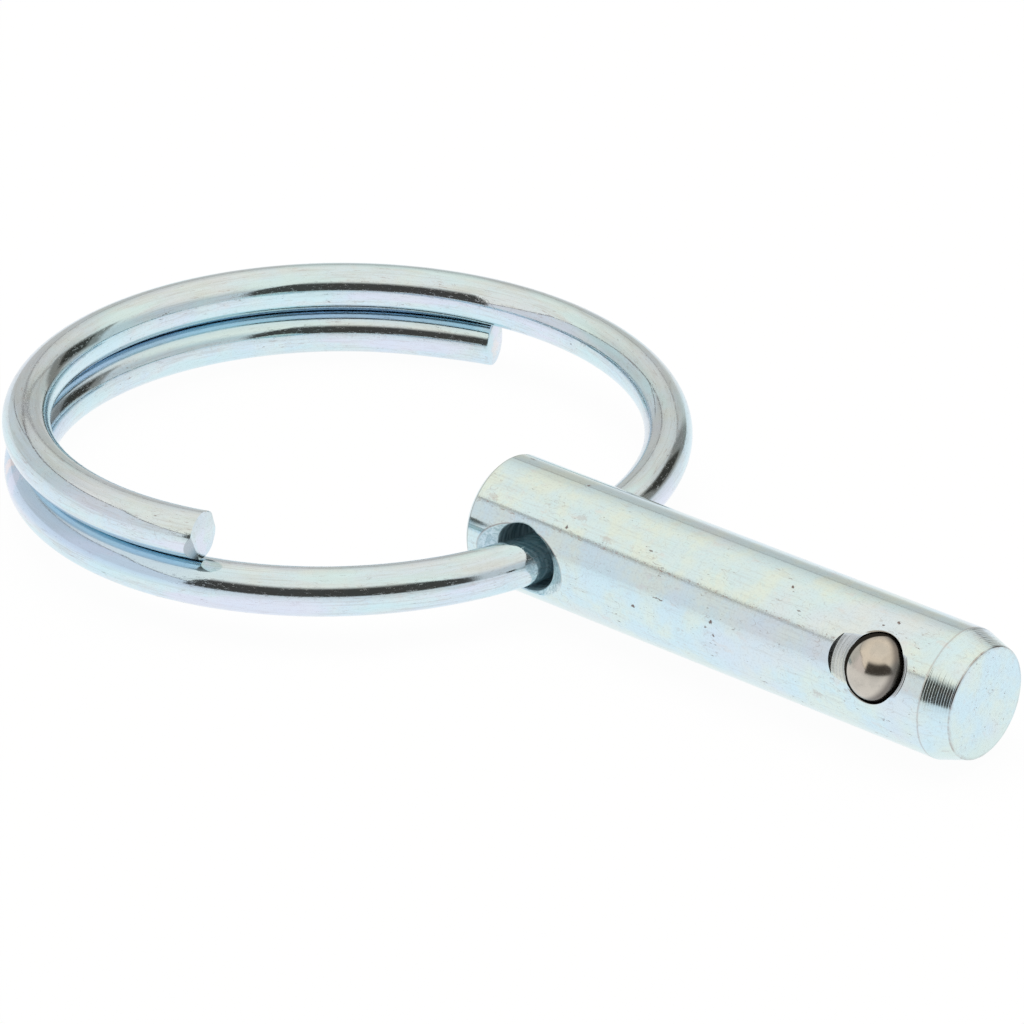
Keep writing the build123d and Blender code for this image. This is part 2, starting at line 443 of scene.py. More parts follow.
centre_distance = ring_radius - wire_bow + ring_pull
ring_centre = Vector((-centre_distance * cos(radians(ring_creep)),
                      centre_distance * sin(radians(ring_creep)), -ring_drop))


def wound(wire, start, runs, section_steps, step_angle):
    """Round wire wound up about Z from a start, in runs of (centre, turns, rise)."""
    bm = bmesh.new()
    bmesh.ops.create_circle(bm, segments=section_steps, radius=wire)
    first_centre = Vector(runs[0][0])
    facing = atan2(start[1] - first_centre.y, start[0] - first_centre.x)
    stand = Matrix.Translation(start) @ Matrix.Rotation(facing, 4, "Z")
    bmesh.ops.transform(bm, matrix=stand @ Matrix.Rotation(pi / 2, 4, "X"), verts=bm.verts[:])
    front = bm.verts[:] + bm.edges[:]
    for centre, turns, rise in runs:
        steps = round(360 * turns / step_angle)
        swept = bmesh.ops.spin(bm, geom=front, cent=centre, axis=(0, 0, 1),
                               dvec=(0, 0, rise / steps), angle=2 * pi * turns, steps=steps)
        front = swept["geom_last"]
    ends = close_openings(bm)
    face_out(bm)
    return bm, ends


def lower_end():
    """Where the wire starts, the centre its first stretch bends about, and its turns."""
    joint = radians(end_stretch - lower_sweep)
    turns = end_stretch / 360 * ring_radius / end_stretch_radius
    centre = Vector((cos(joint), sin(joint), 0)) * (ring_radius - end_stretch_radius)
    angle = joint - 2 * pi * turns
    start = centre + Vector((cos(angle), sin(angle), 0)) * end_stretch_radius
    start.z = -ring_pitch * lower_sweep / 360
    return start, centre, turns


end_turn = radians(upper_sweep)
end_away = Vector((-sin(end_turn), cos(end_turn), 0))
end_outward = Vector((cos(end_turn), sin(end_turn), 0))
end_middle = end_outward * ring_radius + Vector((0, 0, ring_pitch * upper_sweep / 360))
end_skew = radians(5)
end_region = 3 * mm
# Each flat: its angle round the wire, its distance from the middle in mm, and its lean.
broad_flat = (-24, 1.10, 50)
small_flats = [(161, 1.32, 60), (112, 1.42, 60), (212, 1.42, 60)]


def nipped(angle, reach, lean):
    """The plane of one flat, as a point on it and the direction that it cuts away."""
    side = end_outward * cos(radians(angle)) + Vector((0, 0, sin(radians(angle))))
    set_back = (wire_radius + reach * mm * cos(radians(angle))) * tan(end_skew)
    normal = end_away * cos(radians(lean)) + side * sin(radians(lean))
    return end_middle + side * reach * mm - end_away * set_back, normal


def pinch(bm):
    """Cuts the upper end askew, then gives it the flats that the nippers left."""
    def is_near(place):
        """On the upper coil and close to its end."""
        return ((place - end_middle).length < end_region
                and abs(place.z - end_middle.z) < ring_pitch / 2)

    cuts = [(end_middle - end_outward * wire_radius,
             end_away * cos(end_skew) + end_outward * sin(end_skew))]
    cuts += [nipped(*flat) for flat in [broad_flat, *small_flats]]
    for point, normal in cuts:
        parts = [vert for vert in bm.verts if is_near(vert.co)]
        parts += [part for part in bm.edges[:] + bm.faces[:]
                  if all(is_near(vert.co) for vert in part.verts)]
        bmesh.ops.bisect_plane(bm, geom=parts, dist=1e-9, plane_co=point,
                               plane_no=normal, clear_outer=True)
        close_openings(bm)
    face_out(bm)


def ring_shape():
    """The whole ring about its own axis, with its ends broken and nipped."""
    start, centre, turns = lower_end()
    first_rise = ring_pitch * end_stretch / 360
    rest = (upper_sweep + lower_sweep - end_stretch) / 360
    runs = [(centre, turns, first_rise), ((0, 0, 0), rest, ring_pitch * rest)]
    bm, ends = wound(wire_radius, start, runs, ring_section_steps, ring_step_angle)
    rims = [edge for end in ends for edge in end.edges]
    bmesh.ops.bevel(bm, geom=rims, offset=ring_end_break, affect="EDGES", segments=3,
                    profile=0.5, material=-1)
    pinch(bm)
    return bm


def ring_swing():
    """How far the ring swings about its hole before its lower end meets the ground."""
    start, _, _ = lower_end()
    end_x = ring_centre.x + start.x
    end_z = -ring_drop + start.z
    wanted = ground_z + ground_gap + wire_radius
    return asin(wanted / hypot(end_x, end_z)) - atan2(end_z, -end_x)


swing = ring_swing()
ring_mesh = ring_shape()
laid = Matrix.Translation((hole_x, 0, 0)) @ Matrix.Rotation(swing, 4, "Y")
laid = laid @ Matrix.Translation(ring_centre)
bmesh.ops.transform(ring_mesh, matrix=laid, verts=ring_mesh.verts[:])
ring = as_object("pull_ring", ring_mesh)
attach(ring, "ring")
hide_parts("split_ring")
print("ring swung by", round(degrees(swing), 3), "degrees")

# %% [markdown]
# ## The ball and its spring
# The ball is a hardened bearing ball. It is spun from a half circle about its own slide axis,
# so its poles hide in the pocket and at its highest point. The spring under it is wound in
# three runs, closed, open and closed again, and both ends are ground flat by cutting them
# with a plane and closing the cut.

# %% Ball
ball_steps = 128


def ball_shape():
    """The ball on the pocket's axis."""
    half = arc((0, ball_height), ball_radius, -90, 90, ball_steps // 2)
    points = [(max(radius, 0), 0, height) for radius, height in half]
    return placed_in_pocket(turned(points, (0, 0, 1), ball_steps))


ball = as_object("locking_ball", ball_shape())
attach(ball, "ball")
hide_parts("detent_ball")

# %% Spring
spring_section_steps = 16
spring_step_angle = 7.5
closed_gap = 0.03 * mm        # between two closed turns


def spring_shape():
    """The spring on the pocket's axis, standing on its ground foot."""
    closed_rise = spring_turns_closed * (spring_wire + closed_gap)
    middle = (0, 0, 0)
    runs = [(middle, spring_turns_closed, closed_rise),
            (middle, spring_turns_active, spring_length - 2 * closed_rise),
            (middle, spring_turns_closed, closed_rise)]
    bm, _ = wound(spring_wire / 2, (spring_mean, 0, 0), runs, spring_section_steps,
                  spring_step_angle)
    for height, side in ((0, -1), (spring_length, 1)):
        bmesh.ops.bisect_plane(bm, geom=bm.verts[:] + bm.edges[:] + bm.faces[:], dist=1e-9,
                               plane_co=(0, 0, height), plane_no=(0, 0, side),
                               clear_outer=True)
        close_openings(bm)
    move(bm, (0, 0, spring_foot))
    face_out(bm)
    return placed_in_pocket(bm)


spring = as_object("ball_spring_wire", spring_shape())
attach(spring, "pin")
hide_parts("ball_spring")
(spring_length - ball_travel) / spring_length
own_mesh(spring)

# %% [markdown]
# ## Writing shaders as sums
# A finish is easier to read as arithmetic than as a web of nodes. `Value` wraps one socket,
# and every operator adds the Math node that does it. `node` adds any other kind of node from
# its type, its settings and its inputs. A colour is laid over another with `mix`.

# %% Shader helpers
class Value:
    """One socket of a node tree, with arithmetic."""

    def __init__(self, tree, socket):
        self.tree = tree
        self.socket = socket

    def math(self, operation, *others):
        inputs = dict(enumerate([self, *others]))
        return node(self.tree, "ShaderNodeMath", {"operation": operation}, inputs)

    def vector(self, operation, *others, output=0):
        inputs = dict(enumerate([self, *others]))
        return node(self.tree, "ShaderNodeVectorMath", {"operation": operation}, inputs,
                    output)

    def __add__(self, other):
        return self.math("ADD", other)

    __radd__ = __add__

    def __mul__(self, other):
        return self.math("MULTIPLY", other)

    __rmul__ = __mul__

    def __sub__(self, other):
        return self.math("SUBTRACT", other)

    def __rsub__(self, other):
        return (self * -1) + other

    def ramp(self, start, end):
        """0 below start, 1 above end and a smooth rise between them."""
        return node(self.tree, "ShaderNodeMapRange", {"interpolation_type": "SMOOTHSTEP"},
                    {"Value": self, "From Min": start, "From Max": end})

    def near(self, level, inner, outer):
        """1 within inner of a level, falling to 0 at outer."""
        return 1 - (self - level).math("ABSOLUTE").ramp(inner, outer)

    def between(self, start, end, soft):
        """1 from start to end, fading over twice the soft width at each of them."""
        return self.ramp(start - soft, start + soft) * (1 - self.ramp(end - soft, end + soft))


def node(tree, kind, settings=None, inputs=None, output=0):
    """Adds a node: its settings first, then the values and links of its sockets."""
    made = tree.nodes.new(kind)
    for name, value in (settings or {}).items():
        setattr(made, name, value)
    for name, value in (inputs or {}).items():
        if isinstance(value, Value):
            tree.links.new(value.socket, made.inputs[name])
        else:
            made.inputs[name].default_value = value
    return Value(tree, made.outputs[output]) if made.outputs else None


def mix(low, high, factor):
    """One colour turning into another."""
    def colour(part):
        return part if isinstance(part, Value) else (*part, 1.0)

    return node(factor.tree, "ShaderNodeMix", {"data_type": "RGBA"},
                {0: factor, 6: colour(low), 7: colour(high)}, output=2)


def new_tree(owner):
    """The empty node tree of a material or a world."""
    owner.use_nodes = True
    owner.node_tree.nodes.clear()
    return owner.node_tree


def split(vector):
    """The three numbers of a vector."""
    parts = node(vector.tree, "ShaderNodeSeparateXYZ", None, {0: vector}).socket.node.outputs
    return [Value(vector.tree, parts[name]) for name in "XYZ"]


def joined(x, y, z):
    """A vector of three numbers."""
    return node(x.tree, "ShaderNodeCombineXYZ", None, {0: x, 1: y, 2: z})


def length(a, b):
    """How long the flat vector (a, b) is."""
    return (a * a + b * b).math("SQRT")


def bearing(x, y):
    """The direction of the flat vector (x, y) in degrees, from -180 to 180."""
    return y.math("ARCTAN2", x) * degrees(1)


def whole_turn(angle):
    """The same direction, counted from 0 to 360."""
    return angle + angle.math("LESS_THAN", 0.0) * 360


def noise(place, scale, detail=2.0, rough=0.5, shift=0.0):
    """Cloudy noise, mostly near a half. Scale is one number, or one for each axis."""
    stretch = scale if isinstance(scale, tuple) else (scale, scale, scale)
    moved = place.vector("MULTIPLY_ADD", stretch, (shift, shift * 0.7, shift * 1.3))
    return node(place.tree, "ShaderNodeTexNoise", None,
                {"Vector": moved, "Scale": 1.0, "Detail": detail, "Roughness": rough})

# %% [markdown]
# ## The room
# A bright plated part looks like the room it stands in. This one is a white tent: pale walls,
# a lighter ceiling with a fine seam where it meets the wall, and dark openings that give the
# ring its black lines and the ball its dark window. The world is painted by direction, with
# azimuth and elevation in degrees. Seen straight on, it is plain white.

# %% World
scene = bpy.context.scene
world = bpy.data.worlds.new("tent")
scene.world = world
white = (1.0, 1.0, 1.0)

# Where the walls start and end, in degrees round from +X towards +Y.
back_wall = 97
corner = 157
front_wall = 208
seam_peak = 223
front_end = 262


def paint_walls(around, elevation):
    """The tent's walls, all the way round."""
    colour = mix((0.64, 0.67, 0.68), (0.62, 0.60, 0.57), around.between(back_wall, corner, 3))
    glare = around.near(120, 8, 20) * (1 - elevation.ramp(0, 10))
    colour = mix(colour, (0.80, 0.79, 0.77), glare * 0.6)
    colour = mix(colour, (0.69, 0.71, 0.71), around.between(corner, front_wall, 3))
    return mix(colour, (0.81, 0.79, 0.81), around.between(front_wall, front_end, 9))


def paint_ceiling(walls, around, elevation):
    """The ceiling over the walls, with the dark seam where they meet."""
    # The seam climbs from the back wall to the front one, then drops again.
    seam_height = around.ramp(130, seam_peak) * 13.5 + 22.5
    seam_height = seam_height - (around - seam_peak).math("MAXIMUM", 0.0) * 0.6
    above = elevation - seam_height
    far_side = around.between(85, 190, 12) * (1 - above.ramp(-4, 30))
    ceiling = mix((1.0, 0.94, 0.86), (1.0, 0.96, 0.90), elevation.ramp(52, 72))
    ceiling = mix(ceiling, (0.72, 0.70, 0.66), far_side)
    # Past the ends of the seam the ceiling runs softly into the side wall.
    seamed = around.between(100, front_end, 2)
    edge = above.ramp(-0.5, 0.5) * seamed + elevation.ramp(18, 42) * (1 - seamed)
    colour = mix(walls, ceiling, edge)
    seam = above.near(0, 0.5, 1.1) * seamed * (around.ramp(125, 160) * 0.4 + 0.55)
    colour = mix(colour, (0.16, 0.13, 0.13), seam)
    fold = (around - elevation * 0.35).near(152.5, 0.6, 1.4) * elevation.between(11, 26, 2)
    return mix(colour, (0.22, 0.20, 0.19), fold * 0.8)


def paint_openings(tent, azimuth, elevation):
    """The dark doorway on the right, and the alcove behind with its darker recess."""
    right_edge = (elevation - 22).math("MAXIMUM", 0.0) * -0.9 - 8
    doorway = azimuth.ramp(-102, -100.5) * (azimuth - right_edge).ramp(3, -3)
    doorway = doorway * elevation.ramp(-1, 4) * (1 - elevation.ramp(32, 48))
    colour = mix(tent, (0.068, 0.063, 0.058), doorway)
    lintel = 33 - (azimuth - 62).math("MAXIMUM", 0.0) * 0.2
    sill = (azimuth - 85).math("MAXIMUM", 0.0) * 0.8
    alcove = azimuth.between(60, 101, 3) * (elevation - lintel).ramp(2, -2)
    colour = mix(colour, (0.28, 0.27, 0.25), alcove * (elevation + sill).ramp(0, 8))
    recess = azimuth.between(68.5, 90, 2) * elevation.between(9, 26.5, 2)
    return mix(colour, (0.050, 0.048, 0.042), recess)


def paint_tent(tree):
    """The colour of the room in every direction."""
    x, y, z = split(node(tree, "ShaderNodeTexCoord", output="Generated"))
    azimuth = bearing(x, y)
    around = whole_turn(azimuth)
    elevation = z.math("ARCSINE") * degrees(1)
    tent = paint_ceiling(paint_walls(around, elevation), around, elevation)
    return paint_openings(tent, azimuth, elevation)


tent = new_tree(world)
seen = node(tent, "ShaderNodeLightPath", output="Is Camera Ray")
shown = mix(paint_tent(tent), white, seen)
node(tent, "ShaderNodeOutputWorld", None,
     {0: node(tent, "ShaderNodeBackground", None, {"Color": shown, "Strength": 1.0})})
print("world nodes:", len(tent.nodes))

# %% [markdown]
# ## The floor
# A white sheet, lit up to white. Most of what the eye and the mirrors see of it is its own
# glow, and a small share is plain diffuse white, which keeps the soft shadow under the pin.
# The sheet is satin: where the metal mirrors it at a low angle, it mirrors the walls in turn.
# One wide lamp overhead makes the soft shadow, and it is kept out of the metal's mirror.

# %% Floor
sheet_reach = 1.6
glow_share = 0.96             # the rest is plain diffuse white
satin_share = 0.3
satin_roughness = 0.12


def floor_sheet():
    bm = bmesh.new()
    bmesh.ops.create_grid(bm, x_segments=2, y_segments=2, size=sheet_reach)
    move(bm, (0, 0, ground_z))
    return as_object("floor_sheet", bm)


def white_sheet():
    """Its own glow, some plain white, and a satin sheen in mirrors."""
    material = bpy.data.materials.new("white_sheet")
    tree = new_tree(material)
    camera_ray, glossy_ray, through_ray = (
        node(tree, "ShaderNodeLightPath", output=name)
        for name in ("Is Camera Ray", "Is Glossy Ray", "Is Transmission Ray"))
    glow_colour = mix(white, (0.95, 0.97, 1.0), glossy_ray)
    glow = node(tree, "ShaderNodeEmission", None, {"Color": glow_colour, "Strength": 1.0})
    plain = node(tree, "ShaderNodeBsdfDiffuse", None, {"Color": (0.95, 0.95, 0.95, 1)})
    share = (camera_ray + glossy_ray + through_ray) * glow_share
    surface = node(tree, "ShaderNodeMixShader", None, {0: share, 1: plain, 2: glow})
    sheen = node(tree, "ShaderNodeFresnel", None, {"IOR": 1.45}) * glossy_ray * satin_share
    satin = node(tree, "ShaderNodeBsdfGlossy", None, {"Roughness": satin_roughness})
    surface = node(tree, "ShaderNodeMixShader", None, {0: sheen, 1: surface, 2: satin})
    node(tree, "ShaderNodeOutputMaterial", None, {0: surface})
    return material


floor = floor_sheet()
floor.data.materials.append(white_sheet())

# %% Lamp
lamp = bpy.data.objects.new("soft_lamp", bpy.data.lights.new("soft_lamp", "AREA"))
lamp.data.shape = "SQUARE"
lamp.data.size = 0.6
lamp.data.energy = 2.4
lamp.location = (-0.1, 0.05, 0.8)
lamp.visible_glossy = False
scene.collection.objects.link(lamp)
print("lamp", lamp.data.energy, "W")

# %% [markdown]
# ## Zinc plate
# Both the pin and the ring are zinc plated and dipped in a clear passivate. Bare zinc is a
# slightly bluish mirror. The passivate is a film thinner than light's own wavelength, so it
# tints the metal in soft patches: yellow-green, sky blue, lavender, and pinkish brown where
# the dip drained slowly. Barrel plating and handling leave fine grain, short dark streaks,
# specks and pits. `Coat` keeps the three things that change over the surface, and each mark
# is laid over what was there before.

# %% Zinc plate
class Coat:
    """A finish that is being built up: colour, roughness, and height in millimetres."""

    def __init__(self, colour, rough, height):
        self.colour = colour
        self.rough = rough
        self.height = height

    def lay(self, mask, colour, rough=None, height=None):
        """Covers what the mask picks out."""
        self.colour = mix(self.colour, colour, mask)
        if rough is not None:
            self.rough = self.rough + (rough - self.rough) * mask
        if height is not None:
            self.height = self.height + mask * height


def new_finish(name):
    """An empty material, and the object's own coordinates in millimetres."""
    material = bpy.data.materials.new(name)
    place = node(new_tree(material), "ShaderNodeTexCoord", output="Object")
    return material, place.vector("MULTIPLY", (in_mm, in_mm, in_mm))


sky_blue = (0.66, 0.88, 0.93)
lavender = (0.74, 0.80, 0.90)
speck_brown = (0.26, 0.23, 0.22)


def zinc(place, flow, streak, cool, warm):
    """Plain zinc plate. Flow runs along the stock in X, so marks can follow the metal."""
    cloud = noise(place, 0.42, 3, 0.6)
    drift = noise(place, 0.16, 2, 0.5, 31)
    fine = noise(place, 1.7, 3, 0.65, 40)
    colour = mix(cool, warm, cloud.ramp(0.36, 0.64))
    colour = mix(colour, sky_blue, fine.ramp(0.50, 0.68) * 0.4)
    colour = mix(colour, lavender, drift.ramp(0.52, 0.66) * 0.5)
    coat = Coat(colour, drift * 0.08 + 0.06, noise(place, 0.7, 1, 0.4, 5) * 0.0012)
    blush = noise(place, (0.7, 1.2, 1.2), 4, 0.65, 12).ramp(0.58, 0.72)
    coat.lay(blush * 0.5, (0.74, 0.74, 0.74))
    tarnish = noise(place, (1.1, 1.8, 1.8), 5, 0.7, 47).ramp(0.60, 0.74)
    coat.lay(tarnish * 0.5, (0.58, 0.58, 0.57), 0.16)
    grain = noise(place, 7.0, 2, 0.6, 3)
    coat.lay(grain.ramp(0.50, 0.72) * 0.22, (0.48, 0.52, 0.53))
    coat.height = coat.height + grain * 0.0012
    drawn = noise(flow, (0.35, 6.0, 6.0), 3, 0.6, 8)
    coat.lay(drawn.ramp(0.52, 0.70) * streak, (0.52, 0.53, 0.52), 0.15, -0.0008)
    speck = noise(flow, (1.3, 4.2, 4.2), 3, 0.7, 21)
    sparse = noise(place, 0.5, 2, 0.5, 64).ramp(0.42, 0.60)
    coat.lay(speck.ramp(0.655, 0.70) * sparse, speck_brown, 0.35, -0.003)
    scratch = noise(flow, (0.5, 1.4, 1.4), 2, 0.5, 77).near(0.5, 0.002, 0.006)
    coat.lay(scratch * sparse * 0.5, (0.45, 0.43, 0.42), 0.25, -0.0015)
    return coat


def finish(material, coat, metallic=1.0, painted_black_shade=None):
    """Wires a coat up as metal, with an optional mask for a dead black painted shade over it.
    """
    tree = material.node_tree
    bump = node(tree, "ShaderNodeBump", None,
                {"Height": coat.height, "Strength": 1.0, "Distance": 0.001})
    metal = node(tree, "ShaderNodeBsdfPrincipled", None,
                 {"Base Color": coat.colour, "Metallic": metallic, "Roughness": coat.rough,
                  "Normal": bump})
    if painted_black_shade is not None:
        black = node(tree, "ShaderNodeBsdfPrincipled", None,
                     {"Base Color": (0.02, 0.018, 0.015, 1), "Roughness": 0.9,
                      "Specular IOR Level": 0.0})
        metal = node(tree, "ShaderNodeMixShader", None, {0: painted_black_shade, 1: metal, 2: black})
    node(tree, "ShaderNodeOutputMaterial", None, {0: metal})
    return material


def spot(place, centre, size, stretch=(1, 1, 1)):
    """A ragged blot round a point: 1 inside its size in millimetres, 0 well outside it."""
    ragged = (noise(place, 6.0, 3, 0.65, centre[0]) - 0.5) * size * 3.2
    away = place.vector("SUBTRACT", centre).vector("MULTIPLY", stretch)
    return 1 - (away.vector("LENGTH", output=1) + ragged).ramp(size * 0.6, size * 1.15)

# %% [markdown]
# ## The pin's finish
# On top of the plain plate the pin has its own places, and each function below lays one of
# them. Plate is thin on sharp edges, so the shoulder, the rims and the lip of the countersink
# show a thin brownish line. Inside the hole the plate is dull and slate coloured, since little
# current reaches a bore. The staking is bare of shine. Its steep wall and its pocket are
# painted dark, as painted shade.

# %% Pin finish
def off_axis(place):
    """The distance from the pin's axis, and a mask of the pin's outermost skin."""
    _, y, z = split(place)
    radial = length(y, z)
    return radial, radial.ramp(3.93, 3.985)


def on_pocket_axes(place):
    """Distances from the pocket's foot on the pin's axis: to the nose, across and out."""
    from_foot = place.vector("SUBTRACT", (in_mm * ball_x, 0, 0))
    return [from_foot.vector("DOT_PRODUCT", tuple(axis), output=1)
            for axis in (along_pin, across_pin, ball_axis)]


def lay_shank(coat, place):
    """A greenish underside, faint turning marks, and a painted reflection: dark flecks along
    one line near the top, where the seam is mirrored.
    """
    _, y, z = split(place)
    _, skin = off_axis(place)
    coat.lay((z * -1).ramp(1.9, 3.0) * 0.6, (0.74, 0.87, 0.80))
    turned_marks = noise(place, (9.0, 0.25, 0.25), 2, 0.6, 9)
    coat.lay(turned_marks.ramp(0.5, 0.75) * skin * 0.10, (0.55, 0.60, 0.62))
    # Painted reflection: broken dark flecks along one line near the top stand in for the
    # mirrored seam.
    seam_reflection_line = bearing(y * -1, z).near(38.5, 0.8, 3.0) * skin
    flecks = noise(place, (3.0, 7.0, 7.0), 3, 0.7, 15).ramp(0.56, 0.66)
    coat.lay(flecks * seam_reflection_line * 0.85, (0.33, 0.24, 0.22), 0.3)


def lay_hole(coat, place):
    """The ring's hole: brown lip, speckled countersink, slate bore. Gives the bore's mask."""
    x, y, z = split(place)
    radial, skin = off_axis(place)
    from_hole = x - in_mm * hole_x
    from_sink = length(from_hole, z - in_mm * sink_z)
    cone = (y.math("ABSOLUTE") - in_mm * sink_start) * sink_spread + in_mm * hole_radius
    lip = (from_sink - cone).near(0.03, 0.01, 0.06) * skin * (z * 0.3 + 0.4)
    coat.lay(lip, (0.40, 0.36, 0.35), 0.3)
    sink = (from_sink - cone).near(0, 0.05, 0.1) * (1 - radial.ramp(3.90, 3.98))
    sink = sink * (1 - from_sink.ramp(3.7, 4.0))
    mottled = noise(place, 4.2, 4, 0.7, 55).ramp(0.42, 0.58)
    coat.lay(sink * 0.7, mix((0.42, 0.56, 0.60), (0.76, 0.87, 0.90), mottled), 0.30)
    edge = in_mm * hole_radius
    bore = 1 - length(from_hole, z).ramp(edge + 0.02, edge + 0.06)
    rings = noise(place, (0.6, 5.0, 0.6), 3, 0.6, 33).ramp(0.40, 0.65)
    coat.lay(bore, mix((0.22, 0.36, 0.42), (0.50, 0.66, 0.72), rings), 0.5, 0.001)
    return bore


def lay_edges(coat, place):
    """Thin plate on the shoulder, the nose's rim and the tail's rim."""
    x, _, _ = split(place)
    radial, _ = off_axis(place)
    wander = (noise(place, 1.5, 2, 0.5, 18) - 0.5) * 0.06
    shoulder = (x + wander).near(in_mm * shoulder_x - 0.02, 0.02, 0.09)
    nose_rim = (x + wander * 0.5).near(in_mm * nose_x - 0.05, 0.02, 0.07)
    nose_rim = nose_rim * radial.ramp(3.2, 3.3)
    tail_rim = (x + wander).near(in_mm * (tail_x + tail_chamfer), 0.03, 0.10)
    broken = noise(place, 1.3, 4, 0.7, 28).ramp(0.40, 0.62)
    worn_edge = shoulder * 0.4 + nose_rim * (broken * 0.5 + 0.2)
    coat.lay(worn_edge.math("MINIMUM", 1.0), (0.40, 0.32, 0.30), 0.25)
    coat.lay(tail_rim * 0.5, (0.40, 0.40, 0.38), 0.25)


def lay_end_faces(coat, place):
    """Faint swirls on the end faces, which were parted off."""
    x, _, _ = split(place)
    radial, _ = off_axis(place)
    swirls = noise(joined(radial, x, x), (5.0, 0.1, 0.1), 3, 0.6, 90)
    end_faces = x.ramp(in_mm * nose_x - 0.02, in_mm * nose_x - 0.01)
    end_faces = end_faces + 1 - x.ramp(in_mm * tail_x + 0.01, in_mm * tail_x + 0.02)
    coat.height = coat.height + swirls * end_faces * 0.0012
    coat.rough = coat.rough + end_faces * 0.08


def lay_pocket(coat, place):
    """The scored staking, with its steep wall painted dark as shade, and the pocket that it
    closes in, painted dark as shade and lighter towards its rim.
    """
    _, skin = off_axis(place)
    forward, side, height = on_pocket_axes(place)
    punched = length(forward - in_mm * stake_centre, side)
    outer = in_mm * stake_radius
    floor_edge = in_mm * stake_floor_radius
    staked = height.ramp(2.4, 2.6) * (1 - skin) * (1 - punched.ramp(outer, outer + 0.03))
    scored = noise(joined(punched, height, height), (14.0, 0.2, 0.2), 2, 0.6, 44)
    scored = scored.ramp(0.36, 0.52)
    coat.lay(staked * 0.8, mix((0.38, 0.42, 0.43), (0.66, 0.71, 0.72), scored), 0.22)
    # Painted shade: the staking's steep wall is painted dark.
    wall = staked * punched.ramp(floor_edge - 0.01, floor_edge + 0.05)
    mottled = noise(place, 4.2, 4, 0.7, 55).ramp(0.48, 0.62)
    coat.lay(wall * 0.9, mix((0.08, 0.09, 0.10), (0.30, 0.31, 0.32), mottled), 0.35)
    edge = in_mm * pocket_radius
    rim = in_mm * rim_height
    # Painted shade: the pocket's gap round the ball is painted near black, lighter towards the
    # rim.
    pocket = 1 - length(forward, side).ramp(edge + 0.07, edge + 0.1)
    pocket = pocket * height.ramp(-3.36, -3.25) * (1 - height.ramp(rim - 0.12, rim - 0.02))
    lighter_towards_rim = height.ramp(rim - 1.1, rim - 0.15)
    coat.lay(pocket, mix((0.035, 0.03, 0.028), (0.42, 0.40, 0.36), lighter_towards_rim), 0.5)


def lay_own_marks(coat, place):
    """Pits and rubs that only this pin has, as places and sizes in millimetres."""
    pits = (((-4.2, -4.0, 0.0), 0.12), ((-10.3, -2.9, 2.8), 0.11), ((-11.3, 0.3, 4.0), 0.10),
            ((13.3, -1.2, 3.8), 0.12), ((1.6, -3.9, 0.9), 0.12), ((1.3, -4.0, 0.5), 0.09),
            ((1.9, -4.0, 0.2), 0.10), ((5.8, -1.5, 3.7), 0.11), ((12.6, -1.7, 3.6), 0.08))
    for centre, size in pits:
        coat.lay(spot(place, centre, size), (0.25, 0.20, 0.19), 0.4, -0.01)
    rubs = (((-16.2, -2.8, 2.8), 0.20), ((-9.6, -2.2, 3.3), 0.22), ((9.6, -3.9, -1.0), 0.20),
            ((-7.3, -2.8, 2.9), 0.22), ((-0.1, 2.1, 3.4), 0.16))
    for centre, size in rubs:
        coat.lay(spot(place, centre, size, (0.5, 1, 1)) * 0.35, (0.50, 0.42, 0.40), 0.2)


def pin_zinc():
    """Plain plate, and then each place's own marks over it."""
    material, place = new_finish("pin_zinc")
    coat = zinc(place, place, 0.2, (0.68, 0.86, 0.93), (0.755, 0.87, 0.82))
    lay_shank(coat, place)
    bore = lay_hole(coat, place)
    lay_edges(coat, place)
    lay_end_faces(coat, place)
    lay_pocket(coat, place)
    lay_own_marks(coat, place)
    return finish(material, coat, metallic=1 - bore * 0.7)

# %% [markdown]
# ## The ring's finish
# The wire was drawn before it was wound and plated, so its streaks run along it. The angle
# round the ring, measured from the hole, and the distance off the helix make coordinates that
# follow the wire. Painted blue shade lies between the two coils and on the lower turn under
# the upper one.

# %% Ring finish
def lay_drawn_wire(coat, flow, upper):
    """The upper half of the wire painted darker, which under the upper turn is painted shade,
    with dull patches; and hairs, nicks and flakes along the wire.
    """
    worn = noise(flow, (0.22, 1.8, 1.8), 4, 0.65, 71)
    # The upper half of the wire is painted darker. On the lower turn it is painted shade from
    # the upper turn.
    coat.lay(upper * 0.33, (0.62, 0.70, 0.73))
    coat.lay(worn.ramp(0.46, 0.66) * upper * 0.4, (0.60, 0.65, 0.61), 0.10)
    hair = noise(flow, (0.16, 11.0, 11.0), 3, 0.6, 36)
    coat.lay(hair.ramp(0.54, 0.66) * 0.35, (0.50, 0.52, 0.50), 0.12)
    nicks = noise(flow, (0.9, 5.5, 5.5), 4, 0.7, 83)
    coat.lay(nicks.ramp(0.60, 0.68) * 0.5, (0.44, 0.38, 0.36), 0.3)
    flakes = noise(flow, (2.5, 9.0, 9.0), 3, 0.7, 14)
    coat.lay(flakes.ramp(0.56, 0.64) * 0.6, (0.70, 0.76, 0.78), 0.45)


